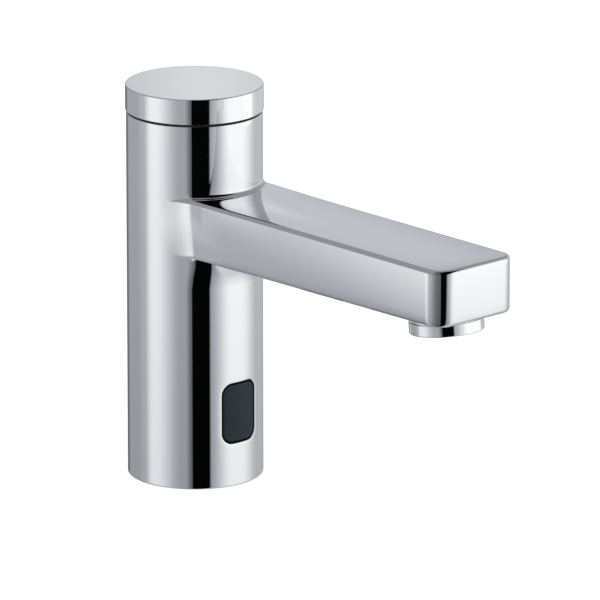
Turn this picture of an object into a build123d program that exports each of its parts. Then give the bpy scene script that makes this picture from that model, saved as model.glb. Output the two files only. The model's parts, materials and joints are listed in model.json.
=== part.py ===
from build123d import *
import math
import os

# A single-supply sensor basin tap: a round chromed column with a flat rectangular spout, a lift-off
# battery cap, an infrared sensor behind a window low in the column, and a pilot-operated solenoid valve.
# Millimetres. The origin is on the deck at the column's axis, +Z is up and the spout points along -Y.

# ---- column, base and cap
COLUMN_D = 50.0
COLUMN_WALL = 3.0
COLUMN_TOP = 137.2          # the rim under the cap
BASE_EDGE = 0.6             # rounding of the foot's outer edge
CAP_D = 50.6
CAP_H = 9.8
CAP_GAP = 0.5               # shadow gap between rim and cap
CAP_ROOF = 2.1
CAP_EDGE = 0.4
PLUG_H = 6.7                # how far the cap's plug reaches into the bore
PLUG_WALL = 3.35

# ---- spout
SPOUT_W = 37.3
SPOUT_TOP = 110.3
SPOUT_H_ROOT = 22.2         # its height where it leaves the column
SPOUT_H_TIP = 20.8
SPOUT_REACH = 151.0         # column axis to tip
SPOUT_WALL = 3.0
TIP_CORNER = 6.0            # upright corners of the tip
EDGE_ROUND = 1.5            # long edges and tip edges
ROOT_FILLET_MAX = 3.2       # where the spout grows out of the column
ROOT_FILLET_SHARE = 0.5     # of the step from the spout's side out to the column's
WATERWAY_DROP = 12.3        # spout's top face to the axis of its tube and of the valve outlet
TUBE_R = 4.0
TUBE_WALL = 0.8

# ---- water outlet, on an axis tilted outwards
OUTLET_INSET = 16.2         # tip to the middle of the outlet's lower face
OUTLET_DROP = 7.0           # that point below the spout's underside at the tip
OUTLET_TILT = 7.0
RING_D = 27.0
RING_H = 4.3
RING_STANDOFF = 0.3         # shadow line between ring and neck
NECK_D = 26.6
THREAD_D = 24.0             # M24x1
THREAD_H = 5.2
NECK_WALL_TOP = 1.8
CHAMBER_R = 10.4
CHAMBER_H = 9.4
SEAL_H = 1.3

# ---- sensor window
WINDOW_W = 15.8
WINDOW_H = 22.9
WINDOW_CORNER = 4.2
WINDOW_FOOT = 1.35          # base insert to the lens flange's lower edge
LENS_GAP = 0.45
LENS_SINK = 0.2             # how far the lens lies below the column's surface
LENS_FLANGE = 2.0           # how far the flange reaches past the window
LENS_FLANGE_T = 1.9
SENSOR_GASKET_T = 0.6

# ---- sensor module behind the lens
HOUSING_HALF_W = 12.0
HOUSING_BACK_Y = -8.2
HOUSING_TOP_MARGIN = 0.9    # above the lens flange
COVER_T = 1.6
CAVITY_HALF_W = 7.4
BOARD_HALF_W = 8.0
BOARD_T = 1.6
BOARD_FRONT_Y = -11.2
DIODE_R = 2.5
DIODE_SPREAD = 11.5         # between emitter and receiver
BARRIER_T = 1.2
CHIP_W = 7.0
CHIP_T = 1.2
SENSOR_SCREW_XY = (9.8, -11.5)

# ---- base insert and its interfaces
INSERT_H = 13.0
STUD_HOLE_R = 3.4           # M8
STUD_HOLE_L = 11.0
INLET_Y = 15.5              # supply, check valve and riser share this axis
INLET_R = 4.5               # M10x1
INLET_L = 7.0
BASE_SCREW_XY = (16.0, 9.0)
BOSS_R = 3.4
BOSS_H = 12.0
BASE_SEAL_INSET = 1.7       # seal ring's middle inside the column's surface
BASE_SEAL_SECTION = 1.2

# ---- riser and check valve
RISER_R = 3.0
RISER_BORE_R = 2.2
CHECK_R = 5.5
CHECK_CHAMBER_R = 4.2
CHECK_FLOOR_Z = 15.0
CHECK_TOP_Z = 30.0
CHECK_CAP_TOP_Z = 38.0
CHECK_SPIGOT_L = 4.4
STRAINER_T = 0.6
CHECK_SEAT_T = 2.0
POPPET_R = 3.2
POPPET_T = 1.5
POPPET_STEM_R = 1.0
POPPET_LIFT = 2.0
CHECK_GUIDE_L = 3.5         # plug of the check valve's cap
CHECK_WEB_T = 1.5           # the plug's web, which guides the stem
CHECK_GALLERY_R = 3.5       # room above the web

# ---- valve manifold
LEDGE_DROP = 18.0           # waterway to the bore's ledge that carries the manifold
LEDGE_H = 3.0
LEDGE_W = 1.6
MANIFOLD_H = 27.0
O_RING_R = 1.03             # section radius of the manifold's and cap's O-rings
O_RING_GROOVE_W = 3.0
O_RING_DEPTH = 1.9
O_RING_OFFSET = 6.5         # from the waterway to each O-ring
GALLERY_W = 6.0
GALLERY_DEPTH = 1.5
OUTLET_BORE_R = 3.5
SEAT_LIP_R = 5.0
SEAT_MOAT_R = 9.5
SEAT_MOAT_H = 8.5
CROSS_DRILL_R = 1.9
CROSS_DRILL_RISE = 6.4      # above the manifold's underside
RISER_SOCKET_H = 4.2
LEAD_HOLE_X = 16.3
LEAD_HOLE_R = 1.9
CIRCLIP_T = 1.2
CIRCLIP_DEPTH = 0.7
CIRCLIP_W = 2.4

# ---- diaphragm valve and solenoid, hanging below the manifold on the column's axis
BONNET_HALF_W = 11.8
BONNET_H = 10.0
BONNET_SCREW_XY = 9.3
DIAPHRAGM_R = 10.6
DIAPHRAGM_BEAD_T = 1.6
DIAPHRAGM_BEAD_W = 1.2
MEMBRANE_T = 0.8
CARRIER_R = 5.0
CARRIER_T = 2.3
CARRIER_LIFT = 1.4
PILOT_R = 0.5
CHAMBER_FLOOR = 4.8         # pilot chamber's floor below the manifold
GUIDE_R = 5.0
GUIDE_BORE_R = 4.2
GUIDE_TAIL = 4.4            # guide tube below the coil
GUIDE_FLOOR_T = 2.9
CORE_H = 6.0
ARMATURE_TRAVEL = 1.9
ARMATURE_POCKET_R = 2.6
ARMATURE_POCKET_H = 6.5
COIL_DROP = 2.0             # bonnet's underside to the coil
COIL_H = 20.0
COIL_END_GAP = 0.2          # coil to yoke
COIL_R = 11.0
COIL_FLANGE_T = 1.2
YOKE_T = 1.6
YOKE_HALF_W = 6.8
CLIP_T = 0.8                # clip in the guide tube's groove, and the groove
CLIP_DEPTH = 0.4

# ---- battery bay
BATTERY_L = 34.8
BATTERY_W = 19.5
BATTERY_H = 35.8
BATTERY_CORNER = 8.0
TRAY_GAP = 2.1              # tray's rim to the bore, past the retaining ring
TRAY_FLOOR = 1.5
TRAY_WALL = 1.2
TRAY_WALL_H = 15.5
CONTACT_T = 0.5
TRAY_SCREW_XY = (8.0, 14.0)

# ---- clearances
SLIP = 0.05                 # radial, parts that slide into each other
PRESS = 0.02                # radial, parts that are pressed or snapped together
FACE = 0.1                  # between faces that meet in use but aren't joined
BORE_FIT = 0.2              # radial, drop-in parts against the column's bore
SCREW_FIT = 0.3             # radial, screw in its clearance hole

# ---- leads, as routes from the upper end to the circuit board
BATTERY_LEAD_R = 1.2
SOLENOID_LEAD_R = 1.0
LEAD_ENTRY_X = 6.0
LEAD_ENTRY_Z = 26.0
GROMMET_WALL = 0.8
GROMMET_L = 3.0

# ---- worked out from the values above
COLUMN_R = COLUMN_D / 2
BORE_R = COLUMN_R - COLUMN_WALL
BASE_SEAL_R = COLUMN_R - BASE_SEAL_INSET
ROOT_FILLET = min(ROOT_FILLET_MAX, ROOT_FILLET_SHARE * (COLUMN_R - SPOUT_W / 2))
SPOUT_BOTTOM_ROOT = SPOUT_TOP - SPOUT_H_ROOT
SPOUT_BOTTOM_TIP = SPOUT_TOP - SPOUT_H_TIP
WATERWAY_Z = SPOUT_TOP - WATERWAY_DROP
OUTLET_Y = OUTLET_INSET - SPOUT_REACH
OUTLET_Z = SPOUT_BOTTOM_TIP - OUTLET_DROP
LEDGE_Z = WATERWAY_Z - LEDGE_DROP
LEDGE_R = BORE_R - LEDGE_W
TRAY_R = BORE_R - TRAY_GAP
COIL_Z1 = LEDGE_Z - BONNET_H - COIL_DROP
COIL_Z0 = COIL_Z1 - COIL_H
GUIDE_BOTTOM_Z = COIL_Z0 - GUIDE_TAIL
WINDOW_Z = INSERT_H + WINDOW_FOOT + LENS_FLANGE + WINDOW_H / 2
CAP_Z0 = COLUMN_TOP + CAP_GAP
CAP_TOP = CAP_Z0 + CAP_H
DROP_IN_R = BORE_R - BORE_FIT
MANIFOLD_TOP = LEDGE_Z + MANIFOLD_H
HOUSING_TOP_Z = WINDOW_Z + WINDOW_H / 2 + LENS_FLANGE + HOUSING_TOP_MARGIN
LENS_R = COLUMN_R - LENS_SINK
FLANGE_R = BORE_R - SENSOR_GASKET_T
FLANGE_BACK_R = FLANGE_R - LENS_FLANGE_T
NECK_Z0 = RING_H + RING_STANDOFF
THREAD_TOP = NECK_Z0 + THREAD_H + SEAL_H
CHAMBER_TOP = THREAD_TOP + CHAMBER_H
CARRIER_TOP_Z = LEDGE_Z - FACE
PILOT_FLOOR_Z = LEDGE_Z - CHAMBER_FLOOR
CORE_Z0 = GUIDE_BOTTOM_Z + GUIDE_FLOOR_T
CORE_TOP_Z = CORE_Z0 + CORE_H
ARMATURE_Z0 = CORE_TOP_Z + ARMATURE_TRAVEL + FACE
NIPPLE_H = 0.6
ARMATURE_Z1 = CARRIER_TOP_Z - CARRIER_T - NIPPLE_H - FACE
SEAT_Z = CHECK_FLOOR_Z + STRAINER_T + CHECK_SEAT_T
POPPET_Z = SEAT_Z + FACE
GUIDE_UNDERSIDE_Z = CHECK_TOP_Z - CHECK_GUIDE_L
RISER_Z0 = CHECK_TOP_Z + 2
TRAY_TOP = MANIFOLD_TOP + TRAY_FLOOR
BATTERY_Z0 = TRAY_TOP + CONTACT_T

UP = (Align.CENTER, Align.CENTER, Align.MIN)


# ---- shared shapes
def rod(r, z0, z1, x=0.0, y=0.0):
    """An upright cylinder from z0 to z1."""
    return Pos(x, y, z0) * Cylinder(r, z1 - z0, align=UP)


def tube(r_out, r_in, z0, z1, x=0.0, y=0.0):
    """An upright ring or tube."""
    return rod(r_out, z0, z1, x, y) - rod(r_in, z0, z1, x, y)


def level_rod(r, y0, y1, x=0.0, z=0.0):
    """A cylinder along Y, from y0 to the larger y1."""
    return Pos(x, y0, z) * Rot(-90, 0, 0) * Cylinder(r, y1 - y0, align=UP)


def block(x0, x1, y0, y1, z0, z1):
    """A box between two corners."""
    return Pos(x0, y0, z0) * Box(x1 - x0, y1 - y0, z1 - z0, align=(Align.MIN, Align.MIN, Align.MIN))


def o_ring(centre_r, section_r, z):
    """A round-section ring about the column's axis."""
    return Pos(0, 0, z) * Torus(centre_r, section_r)


def rounded_bar(length, width, corner, z0, z1):
    """An upright bar with a rounded rectangular section."""
    return Pos(0, 0, z0) * extrude(RectangleRounded(length, width, corner), z1 - z0)


def window_prism(width, height, corner, y0, y1):
    """A rounded rectangle across the column's front, from y0 to the larger y1."""
    face = Plane.XZ * RectangleRounded(width, height, corner)
    return Pos(0, y1, WINDOW_Z) * extrude(face, y1 - y0)


def socket_screw(shank_r, head_r, z_tip, z_head, head_h, x, y, head_up=True):
    """A cap screw with a hexagon socket, its head at z_head."""
    sign = 1 if head_up else -1
    shank = rod(shank_r, min(z_tip, z_head), max(z_tip, z_head), x, y)
    head_end = z_head + sign * head_h
    head = rod(head_r, min(z_head, head_end), max(z_head, head_end), x, y)
    depth = head_h * 0.55
    socket_z = head_end - depth if head_up else head_end
    socket = Pos(x, y, socket_z) * extrude(RegularPolygon(head_r * 0.5, 6), depth)
    return shank + head - socket


def coil_spring(mean_r, wire_r, z0, z1, turns, x=0.0, y=0.0):
    """An open helical spring whose ends lie within z0 and z1."""
    height = z1 - z0 - 2 * wire_r
    path = Helix(pitch=height / turns, height=height, radius=mean_r)
    section = Plane(path @ 0, z_dir=path % 0) * Circle(wire_r)
    return Pos(x, y, z0 + wire_r) * sweep(section, path=path)


def outlet(shape):
    """Moves a shape made on the Z axis to the outlet's tilted axis."""
    return Pos(0, OUTLET_Y, OUTLET_Z) * Rot(-OUTLET_TILT, 0, 0) * shape


def join(pieces):
    """Several solids as one part."""
    whole = pieces[0]
    for piece in pieces[1:]:
        whole = whole + piece
    return whole


def spout_underside(y):
    """Height of the spout's sloping underside at y."""
    rise = (SPOUT_BOTTOM_TIP - SPOUT_BOTTOM_ROOT) / (SPOUT_REACH - COLUMN_R)
    return SPOUT_BOTTOM_ROOT + rise * (-y - COLUMN_R)


def spout_bar(y_root, y_tip, half_w, inset):
    """The spout's straight bar between two stations, drawn in by inset at top and bottom."""
    corners = [
        (y_root, spout_underside(y_root) + inset),
        (y_tip, spout_underside(y_tip) + inset),
        (y_tip, SPOUT_TOP - inset),
        (y_root, SPOUT_TOP - inset),
    ]
    side = make_face(Polyline([(0, y, z) for y, z in corners], close=True))
    return extrude(side, half_w, dir=(1, 0, 0), both=True)


# ---- body and base
def spout_shell():
    """Outer shape of the spout with its corners and edges rounded."""
    bar = spout_bar(0, -SPOUT_REACH, SPOUT_W / 2, 0)
    tip_corners = [
        e for e in bar.edges().filter_by(Axis.Z) if e.center().Y < -SPOUT_REACH + 1
    ]
    bar = fillet(tip_corners, TIP_CORNER)
    root_y = -COLUMN_R / 2
    rims = [
        e for e in bar.edges()
        if e.center().Y < root_y and (e @ 0).Z - (e @ 1).Z < EDGE_ROUND and abs((e % 0.5).Z) < 0.5
    ]
    return fillet(rims, EDGE_ROUND)


def root_seam(shape):
    """The edges where the spout meets the column's surface."""
    def on_column(p):
        return abs(math.hypot(p.X, p.Y) - COLUMN_R) < 0.01 and p.Y < 0

    return [
        e for e in shape.edges()
        if all(on_column(e @ t) for t in (0, 0.5, 1)) and SPOUT_BOTTOM_ROOT - 2 < e.center().Z < SPOUT_TOP + 1
        and e.center().Y < -COLUMN_R / 4
    ]


def body_casting():
    column = rod(COLUMN_R, 0, COLUMN_TOP)
    column = fillet(column.edges().sort_by(Axis.Z)[0], BASE_EDGE)
    body = column + spout_shell()
    body = fillet(root_seam(body), ROOT_FILLET)
    body = body - rod(BORE_R, 0, LEDGE_Z - LEDGE_H) - rod(LEDGE_R, 0, COLUMN_TOP) - rod(BORE_R, LEDGE_Z, COLUMN_TOP)
    groove_z = MANIFOLD_TOP + SLIP
    body -= rod(BORE_R + CIRCLIP_DEPTH + FACE, groove_z, groove_z + CIRCLIP_T + FACE)
    body -= window_prism(WINDOW_W, WINDOW_H, WINDOW_CORNER, -COLUMN_R - 1, -BORE_R / 2)
    body -= spout_bar(-COLUMN_R - 2, -SPOUT_REACH + SPOUT_WALL, SPOUT_W / 2 - SPOUT_WALL, SPOUT_WALL)
    body -= level_rod(TUBE_R + SLIP, -COLUMN_R - 4, -BORE_R / 2, z=WATERWAY_Z)
    body -= outlet(rod(NECK_D / 2 + SLIP, 0, CHAMBER_TOP + NECK_WALL_TOP + 1))
    groove_half = BASE_SEAL_SECTION / 2 + SLIP
    body -= tube(BASE_SEAL_R + groove_half, BASE_SEAL_R - groove_half, 0, BASE_SEAL_SECTION + FACE)
    for side in (-1, 1):
        x, y = side * BASE_SCREW_XY[0], BASE_SCREW_XY[1]
        boss = rod(BOSS_R, INSERT_H, INSERT_H + BOSS_H, x, y) + Pos(x, y, INSERT_H) * Rot(
            0, 0, math.degrees(math.atan2(y, x))
        ) * block(0, BORE_R + 1 - math.hypot(x, y), -BOSS_R, BOSS_R, 0, BOSS_H)
        body += boss - rod(1.25, INSERT_H, INSERT_H + BOSS_H - 1.5, x, y)
    return body


def base_insert():
    insert = rod(DROP_IN_R, 0, INSERT_H)
    insert -= rod(STUD_HOLE_R, 0, STUD_HOLE_L)
    insert -= rod(INLET_R, 0, INLET_L, y=INLET_Y) + rod(RISER_BORE_R, 0, INSERT_H, y=INLET_Y)
    insert -= rod(RISER_R + SLIP, INSERT_H - CHECK_SPIGOT_L - FACE, INSERT_H, y=INLET_Y)
    for side in (-1, 1):
        x, y = side * BASE_SCREW_XY[0], BASE_SCREW_XY[1]
        insert -= rod(1.5 + SCREW_FIT / 2, 0, INSERT_H, x, y) + rod(2.75 + SLIP, 0, 3.4, x, y)
        x, y = side * SENSOR_SCREW_XY[0], SENSOR_SCREW_XY[1]
        insert -= rod(1.05 + SCREW_FIT, 0, INSERT_H, x, y) + rod(2.25 + SCREW_FIT, 0, 2.8, x, y)
    return insert


def base_screws():
    x, y = BASE_SCREW_XY
    return join([
        socket_screw(1.2, 2.7, INSERT_H + BOSS_H - 3, 3.4, 2.8, side * x, y, head_up=False)
        for side in (-1, 1)
    ])


def base_seal_ring():
    return o_ring(BASE_SEAL_R, BASE_SEAL_SECTION / 2, BASE_SEAL_SECTION / 2 + SLIP)


# ---- cap
def top_cap():
    cap = rod(CAP_D / 2, CAP_Z0, CAP_TOP)
    cap = fillet(cap.edges(), CAP_EDGE)
    plug_r = BORE_R - 0.15
    cap += rod(plug_r, CAP_Z0 - PLUG_H, CAP_Z0 + 1)
    cap -= rod(plug_r - PLUG_WALL, CAP_Z0 - PLUG_H, CAP_TOP - CAP_ROOF)
    z = CAP_Z0 - PLUG_H / 2
    groove = tube(plug_r + 1, BORE_R - SLIP - 2 * O_RING_R, z - O_RING_GROOVE_W / 2, z + O_RING_GROOVE_W / 2)
    return cap - groove


def cap_seal_ring():
    return o_ring(BORE_R - SLIP - O_RING_R, O_RING_R - 0.01, CAP_Z0 - PLUG_H / 2)


def cap_gasket():
    return tube(COLUMN_R - CAP_GAP, BORE_R + FACE, COLUMN_TOP, CAP_Z0)


# ---- spout outlet
def spout_tube():
    end_y = OUTLET_Y + (CHAMBER_R + 2) + math.tan(math.radians(OUTLET_TILT)) * (WATERWAY_Z - OUTLET_Z)
    pipe = level_rod(TUBE_R, end_y, -BORE_R, z=WATERWAY_Z)
    return pipe - level_rod(TUBE_R - TUBE_WALL, end_y, -BORE_R, z=WATERWAY_Z)


def aerator_socket():
    top = CHAMBER_TOP + NECK_WALL_TOP
    socket = rod(NECK_D / 2, NECK_Z0, top)
    socket -= rod(THREAD_D / 2 + SLIP, NECK_Z0, THREAD_TOP) + rod(CHAMBER_R, THREAD_TOP, CHAMBER_TOP)
    side_hole = level_rod(TUBE_R + SLIP, OUTLET_Y, OUTLET_Y + NECK_D, z=WATERWAY_Z)
    return outlet(socket) - side_hole


def aerator_housing():
    ring = rod(RING_D / 2, 0, RING_H)
    ring = fillet(ring.edges().sort_by(Axis.Z)[0], 0.5)
    ring = ring + rod(THREAD_D / 2, RING_H, NECK_Z0 + THREAD_H)
    return outlet(ring - rod(CHAMBER_R, 1.0, NECK_Z0 + THREAD_H) - rod(CHAMBER_R - 0.9, 0, 1.0))


def perforated_disc(r, z0, z1, hole_r):
    """A disc with rings of six, twelve and eighteen holes around a middle one."""
    disc = rod(r, z0, z1)
    step = (r - 1.0) / 3.4
    holes = [rod(hole_r, z0, z1)]
    for ring_number in (1, 2, 3):
        count = 6 * ring_number
        for i in range(count):
            angle = 2 * math.pi * i / count
            radius = step * ring_number
            holes.append(rod(hole_r, z0, z1, radius * math.cos(angle), radius * math.sin(angle)))
    return disc - holes


def aerator_insert():
    r = CHAMBER_R - SLIP
    cage = tube(r, r - 1.0, 1.0, NECK_Z0 + THREAD_H - 0.8)
    return outlet(cage + perforated_disc(r - 0.5, 1.0, 2.6, 0.85))


def aerator_screens():
    r = CHAMBER_R - 1.0 - 2 * SLIP
    return outlet(join([perforated_disc(r, z, z + 0.4, 0.6) for z in (3.6, 4.8)]))


def flow_regulator():
    r = CHAMBER_R - 1.0 - 2 * SLIP
    disc = rod(r, 5.8, 8.4) - tube(r - 2.0, 2.4, 6.8, 8.4)
    slots = [rod(0.9, 5.8, 8.4, 5.0 * math.cos(a), 5.0 * math.sin(a)) for a in
             [math.radians(60 * i) for i in range(6)]]
    return outlet(disc - slots)


def aerator_seal():
    return outlet(tube(THREAD_D / 2 - SLIP, CHAMBER_R, THREAD_TOP - SEAL_H, THREAD_TOP))


# ---- sensor module
def sensor_lens():
    pane = window_prism(WINDOW_W - 2 * LENS_GAP, WINDOW_H - 2 * LENS_GAP, WINDOW_CORNER - LENS_GAP, -COLUMN_R, -8)
    pane = pane & tube(LENS_R, FLANGE_BACK_R, 0, LEDGE_Z)
    flange = flange_prism() & tube(FLANGE_R, FLANGE_BACK_R, 0, LEDGE_Z)
    return pane + flange


def flange_prism():
    """The outline that the lens flange and the gasket share."""
    return window_prism(
        WINDOW_W + 2 * LENS_FLANGE, WINDOW_H + 2 * LENS_FLANGE, WINDOW_CORNER + LENS_FLANGE, -COLUMN_R, -8
    )


def sensor_gasket():
    sheet = flange_prism() & tube(BORE_R - PRESS, FLANGE_R + PRESS, 0, LEDGE_Z)
    return sheet - window_prism(WINDOW_W, WINDOW_H, WINDOW_CORNER, -COLUMN_R, -8)


def sensor_housing():
    front = block(-HOUSING_HALF_W, HOUSING_HALF_W, -BORE_R, HOUSING_BACK_Y, INSERT_H, HOUSING_TOP_Z)
    shell = front & rod(FLANGE_BACK_R - SLIP, 0, LEDGE_Z)
    half_h = WINDOW_H / 2 - 0.8
    shell -= block(-CAVITY_HALF_W, CAVITY_HALF_W, -BORE_R, HOUSING_BACK_Y, WINDOW_Z - half_h, WINDOW_Z + half_h)
    half_h = board_half_h() + 0.2
    shell -= block(
        -BOARD_HALF_W - 0.2, BOARD_HALF_W + 0.2, BOARD_FRONT_Y, HOUSING_BACK_Y, WINDOW_Z - half_h, WINDOW_Z + half_h
    )
    barrier = block(
        -CAVITY_HALF_W, CAVITY_HALF_W, -FLANGE_BACK_R + 1.2, BOARD_FRONT_Y,
        WINDOW_Z - BARRIER_T / 2, WINDOW_Z + BARRIER_T / 2,
    )
    shell += barrier & rod(FLANGE_BACK_R - SLIP, 0, LEDGE_Z)
    x, y = SENSOR_SCREW_XY
    return shell - [rod(1.1, INSERT_H, INSERT_H + 11, side * x, y) for side in (-1, 1)]


def board_half_h():
    """Half the height of the circuit board."""
    return WINDOW_H / 2


def sensor_back_cover():
    cover = block(
        -HOUSING_HALF_W, HOUSING_HALF_W, HOUSING_BACK_Y, HOUSING_BACK_Y + COVER_T, INSERT_H + 0.5, HOUSING_TOP_Z
    )
    for side, lead_r in ((1, BATTERY_LEAD_R), (-1, SOLENOID_LEAD_R)):
        hole_r = lead_r + SLIP + GROMMET_WALL
        cover -= level_rod(hole_r + PRESS, HOUSING_BACK_Y, 0, x=side * LEAD_ENTRY_X, z=LEAD_ENTRY_Z)
    return cover


def sensor_circuit_board():
    h = board_half_h()
    return block(
        -BOARD_HALF_W, BOARD_HALF_W, BOARD_FRONT_Y, BOARD_FRONT_Y + BOARD_T, WINDOW_Z - h, WINDOW_Z + h
    )


def diode(z):
    """A domed infrared diode that stands on the board and faces the window."""
    dome_y = -FLANGE_BACK_R + 0.8 + DIODE_R
    barrel = level_rod(DIODE_R, dome_y, BOARD_FRONT_Y, z=z)
    collar = level_rod(DIODE_R + 0.4, BOARD_FRONT_Y - 1.0, BOARD_FRONT_Y, z=z)
    return barrel + collar + Pos(0, dome_y, z) * Sphere(DIODE_R)


def infrared_emitter():
    return diode(WINDOW_Z + DIODE_SPREAD / 2)


def infrared_receiver():
    return diode(WINDOW_Z - DIODE_SPREAD / 2)


def control_chip():
    y = BOARD_FRONT_Y + BOARD_T
    return block(-CHIP_W / 2, CHIP_W / 2, y, y + CHIP_T, WINDOW_Z - CHIP_W / 2, WINDOW_Z + CHIP_W / 2)


def sensor_screws():
    x, y = SENSOR_SCREW_XY
    return join([
        socket_screw(1.05, 2.25, INSERT_H + 9, 2.8, 2.2, side * x, y, head_up=False) for side in (-1, 1)
    ])


def grommet(side, lead_r):
    """A sleeve that guides a lead through the back cover."""
    x = side * LEAD_ENTRY_X
    y0 = HOUSING_BACK_Y
    sleeve = level_rod(lead_r + SLIP + GROMMET_WALL, y0, y0 + GROMMET_L, x, LEAD_ENTRY_Z)
    collar = level_rod(lead_r + SLIP + 2 * GROMMET_WALL, y0 + COVER_T, y0 + GROMMET_L, x, LEAD_ENTRY_Z)
    return sleeve + collar - level_rod(lead_r + SLIP, y0, y0 + GROMMET_L, x, LEAD_ENTRY_Z)


def lead_grommets():
    return join([grommet(1, BATTERY_LEAD_R), grommet(-1, SOLENOID_LEAD_R)])


# ---- supply, check valve and riser
def inlet_strainer():
    r = RISER_BORE_R - 0.15
    z0 = CHECK_FLOOR_Z - CHECK_SPIGOT_L
    cup = rod(CHECK_CHAMBER_R - SLIP, CHECK_FLOOR_Z, CHECK_FLOOR_Z + STRAINER_T) + rod(r, z0, CHECK_FLOOR_Z)
    cup -= rod(r - 0.4, z0 + 0.5, CHECK_FLOOR_Z + STRAINER_T)
    for level in (0.32, 0.55, 0.78):
        z = z0 + level * CHECK_SPIGOT_L
        cup -= level_rod(0.4, -r - 1, r + 1, z=z) + Rot(0, 0, 90) * level_rod(0.4, -r - 1, r + 1, z=z)
    return Pos(0, INLET_Y, 0) * cup


def check_valve_housing():
    shell = rod(CHECK_R, INSERT_H, CHECK_TOP_Z) + rod(RISER_R, INSERT_H - CHECK_SPIGOT_L, INSERT_H)
    shell -= rod(RISER_BORE_R, INSERT_H - CHECK_SPIGOT_L, CHECK_FLOOR_Z)
    return Pos(0, INLET_Y, 0) * (shell - rod(CHECK_CHAMBER_R, CHECK_FLOOR_Z, CHECK_TOP_Z))


def check_valve_seat():
    z0 = CHECK_FLOOR_Z + STRAINER_T
    return Pos(0, INLET_Y, 0) * tube(CHECK_CHAMBER_R - SLIP, POPPET_R - 1.2, z0, SEAT_Z)


def check_valve_poppet():
    stem_top = GUIDE_UNDERSIDE_Z + 1.0
    return Pos(0, INLET_Y, 0) * (rod(POPPET_R, POPPET_Z, POPPET_Z + POPPET_T) + rod(POPPET_STEM_R, POPPET_Z, stem_top))


def check_valve_spring():
    return coil_spring(1.9, 0.22, POPPET_Z + POPPET_T, GUIDE_UNDERSIDE_Z, 5, y=INLET_Y)


def check_valve_cap():
    cap = rod(CHECK_R, CHECK_TOP_Z, CHECK_CAP_TOP_Z) + rod(CHECK_CHAMBER_R - SLIP, GUIDE_UNDERSIDE_Z, CHECK_TOP_Z)
    cap -= rod(RISER_R + SLIP, RISER_Z0, CHECK_CAP_TOP_Z) + rod(RISER_BORE_R, CHECK_TOP_Z, RISER_Z0)
    cap -= rod(CHECK_GALLERY_R, GUIDE_UNDERSIDE_Z + CHECK_WEB_T, RISER_Z0 - 1)
    cap -= rod(POPPET_STEM_R + SLIP, GUIDE_UNDERSIDE_Z, CHECK_TOP_Z)
    ports = [Rot(0, 0, 90 * i) * rod(0.6, GUIDE_UNDERSIDE_Z, CHECK_TOP_Z, x=2.8) for i in range(4)]
    return Pos(0, INLET_Y, 0) * (cap - ports)


def riser_pipe():
    return tube(RISER_R, RISER_BORE_R, RISER_Z0 + SLIP, LEDGE_Z + RISER_SOCKET_H - FACE, y=INLET_Y)


# ---- manifold
def valve_manifold():
    block_ = rod(DROP_IN_R, LEDGE_Z, MANIFOLD_TOP)
    for z in (WATERWAY_Z - O_RING_OFFSET, WATERWAY_Z + O_RING_OFFSET):
        block_ -= tube(DROP_IN_R + 1, BORE_R - 2 * O_RING_R - FACE, z - O_RING_GROOVE_W / 2, z + O_RING_GROOVE_W / 2)
    block_ -= tube(
        DROP_IN_R + 1, DROP_IN_R - GALLERY_DEPTH, WATERWAY_Z - GALLERY_W / 2, WATERWAY_Z + GALLERY_W / 2
    )
    block_ -= rod(OUTLET_BORE_R, LEDGE_Z, WATERWAY_Z) + level_rod(OUTLET_BORE_R, -BORE_R, 0, z=WATERWAY_Z)
    block_ -= tube(SEAT_MOAT_R, SEAT_LIP_R, LEDGE_Z, LEDGE_Z + SEAT_MOAT_H)
    block_ -= rod(RISER_R + SLIP, LEDGE_Z, LEDGE_Z + RISER_SOCKET_H, y=INLET_Y)
    drill_z = LEDGE_Z + CROSS_DRILL_RISE
    block_ -= rod(RISER_BORE_R, LEDGE_Z, drill_z, y=INLET_Y)
    block_ -= level_rod(CROSS_DRILL_R, (SEAT_LIP_R + SEAT_MOAT_R) / 2, BORE_R, z=drill_z)
    block_ -= rod(LEAD_HOLE_R, LEDGE_Z, MANIFOLD_TOP, x=LEAD_HOLE_X)
    for sx in (-1, 1):
        for sy in (-1, 1):
            block_ -= rod(1.05, LEDGE_Z, LEDGE_Z + 9, sx * BONNET_SCREW_XY, sy * BONNET_SCREW_XY)
        block_ -= rod(1.25, MANIFOLD_TOP - 5, MANIFOLD_TOP, sx * TRAY_SCREW_XY[0], -sx * TRAY_SCREW_XY[1])
    return block_


def manifold_seal_rings():
    return join([
        o_ring(BORE_R - PRESS - O_RING_R, O_RING_R, WATERWAY_Z + side * O_RING_OFFSET) for side in (-1, 1)
    ])


def cross_drill_plug():
    y1 = math.sqrt(DROP_IN_R**2 - CROSS_DRILL_R**2) - FACE
    return level_rod(CROSS_DRILL_R - PRESS, y1 - 2.2, y1, z=LEDGE_Z + CROSS_DRILL_RISE)


def manifold_circlip():
    z0 = MANIFOLD_TOP + SLIP + FACE / 2
    r = BORE_R + CIRCLIP_DEPTH
    ring = tube(r, r - CIRCLIP_W, z0, z0 + CIRCLIP_T)
    return ring - block(-3.0, 3.0, 0, COLUMN_R, z0, z0 + CIRCLIP_T)


# ---- solenoid valve
def diaphragm():
    z0 = LEDGE_Z - DIAPHRAGM_BEAD_T
    bead = tube(DIAPHRAGM_R, DIAPHRAGM_R - DIAPHRAGM_BEAD_W, z0, LEDGE_Z)
    mid = LEDGE_Z - DIAPHRAGM_BEAD_T / 2
    web = tube(DIAPHRAGM_R - 0.5, CARRIER_R + 0.3, mid - MEMBRANE_T / 2, mid + MEMBRANE_T / 2)
    return bead + web


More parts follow.
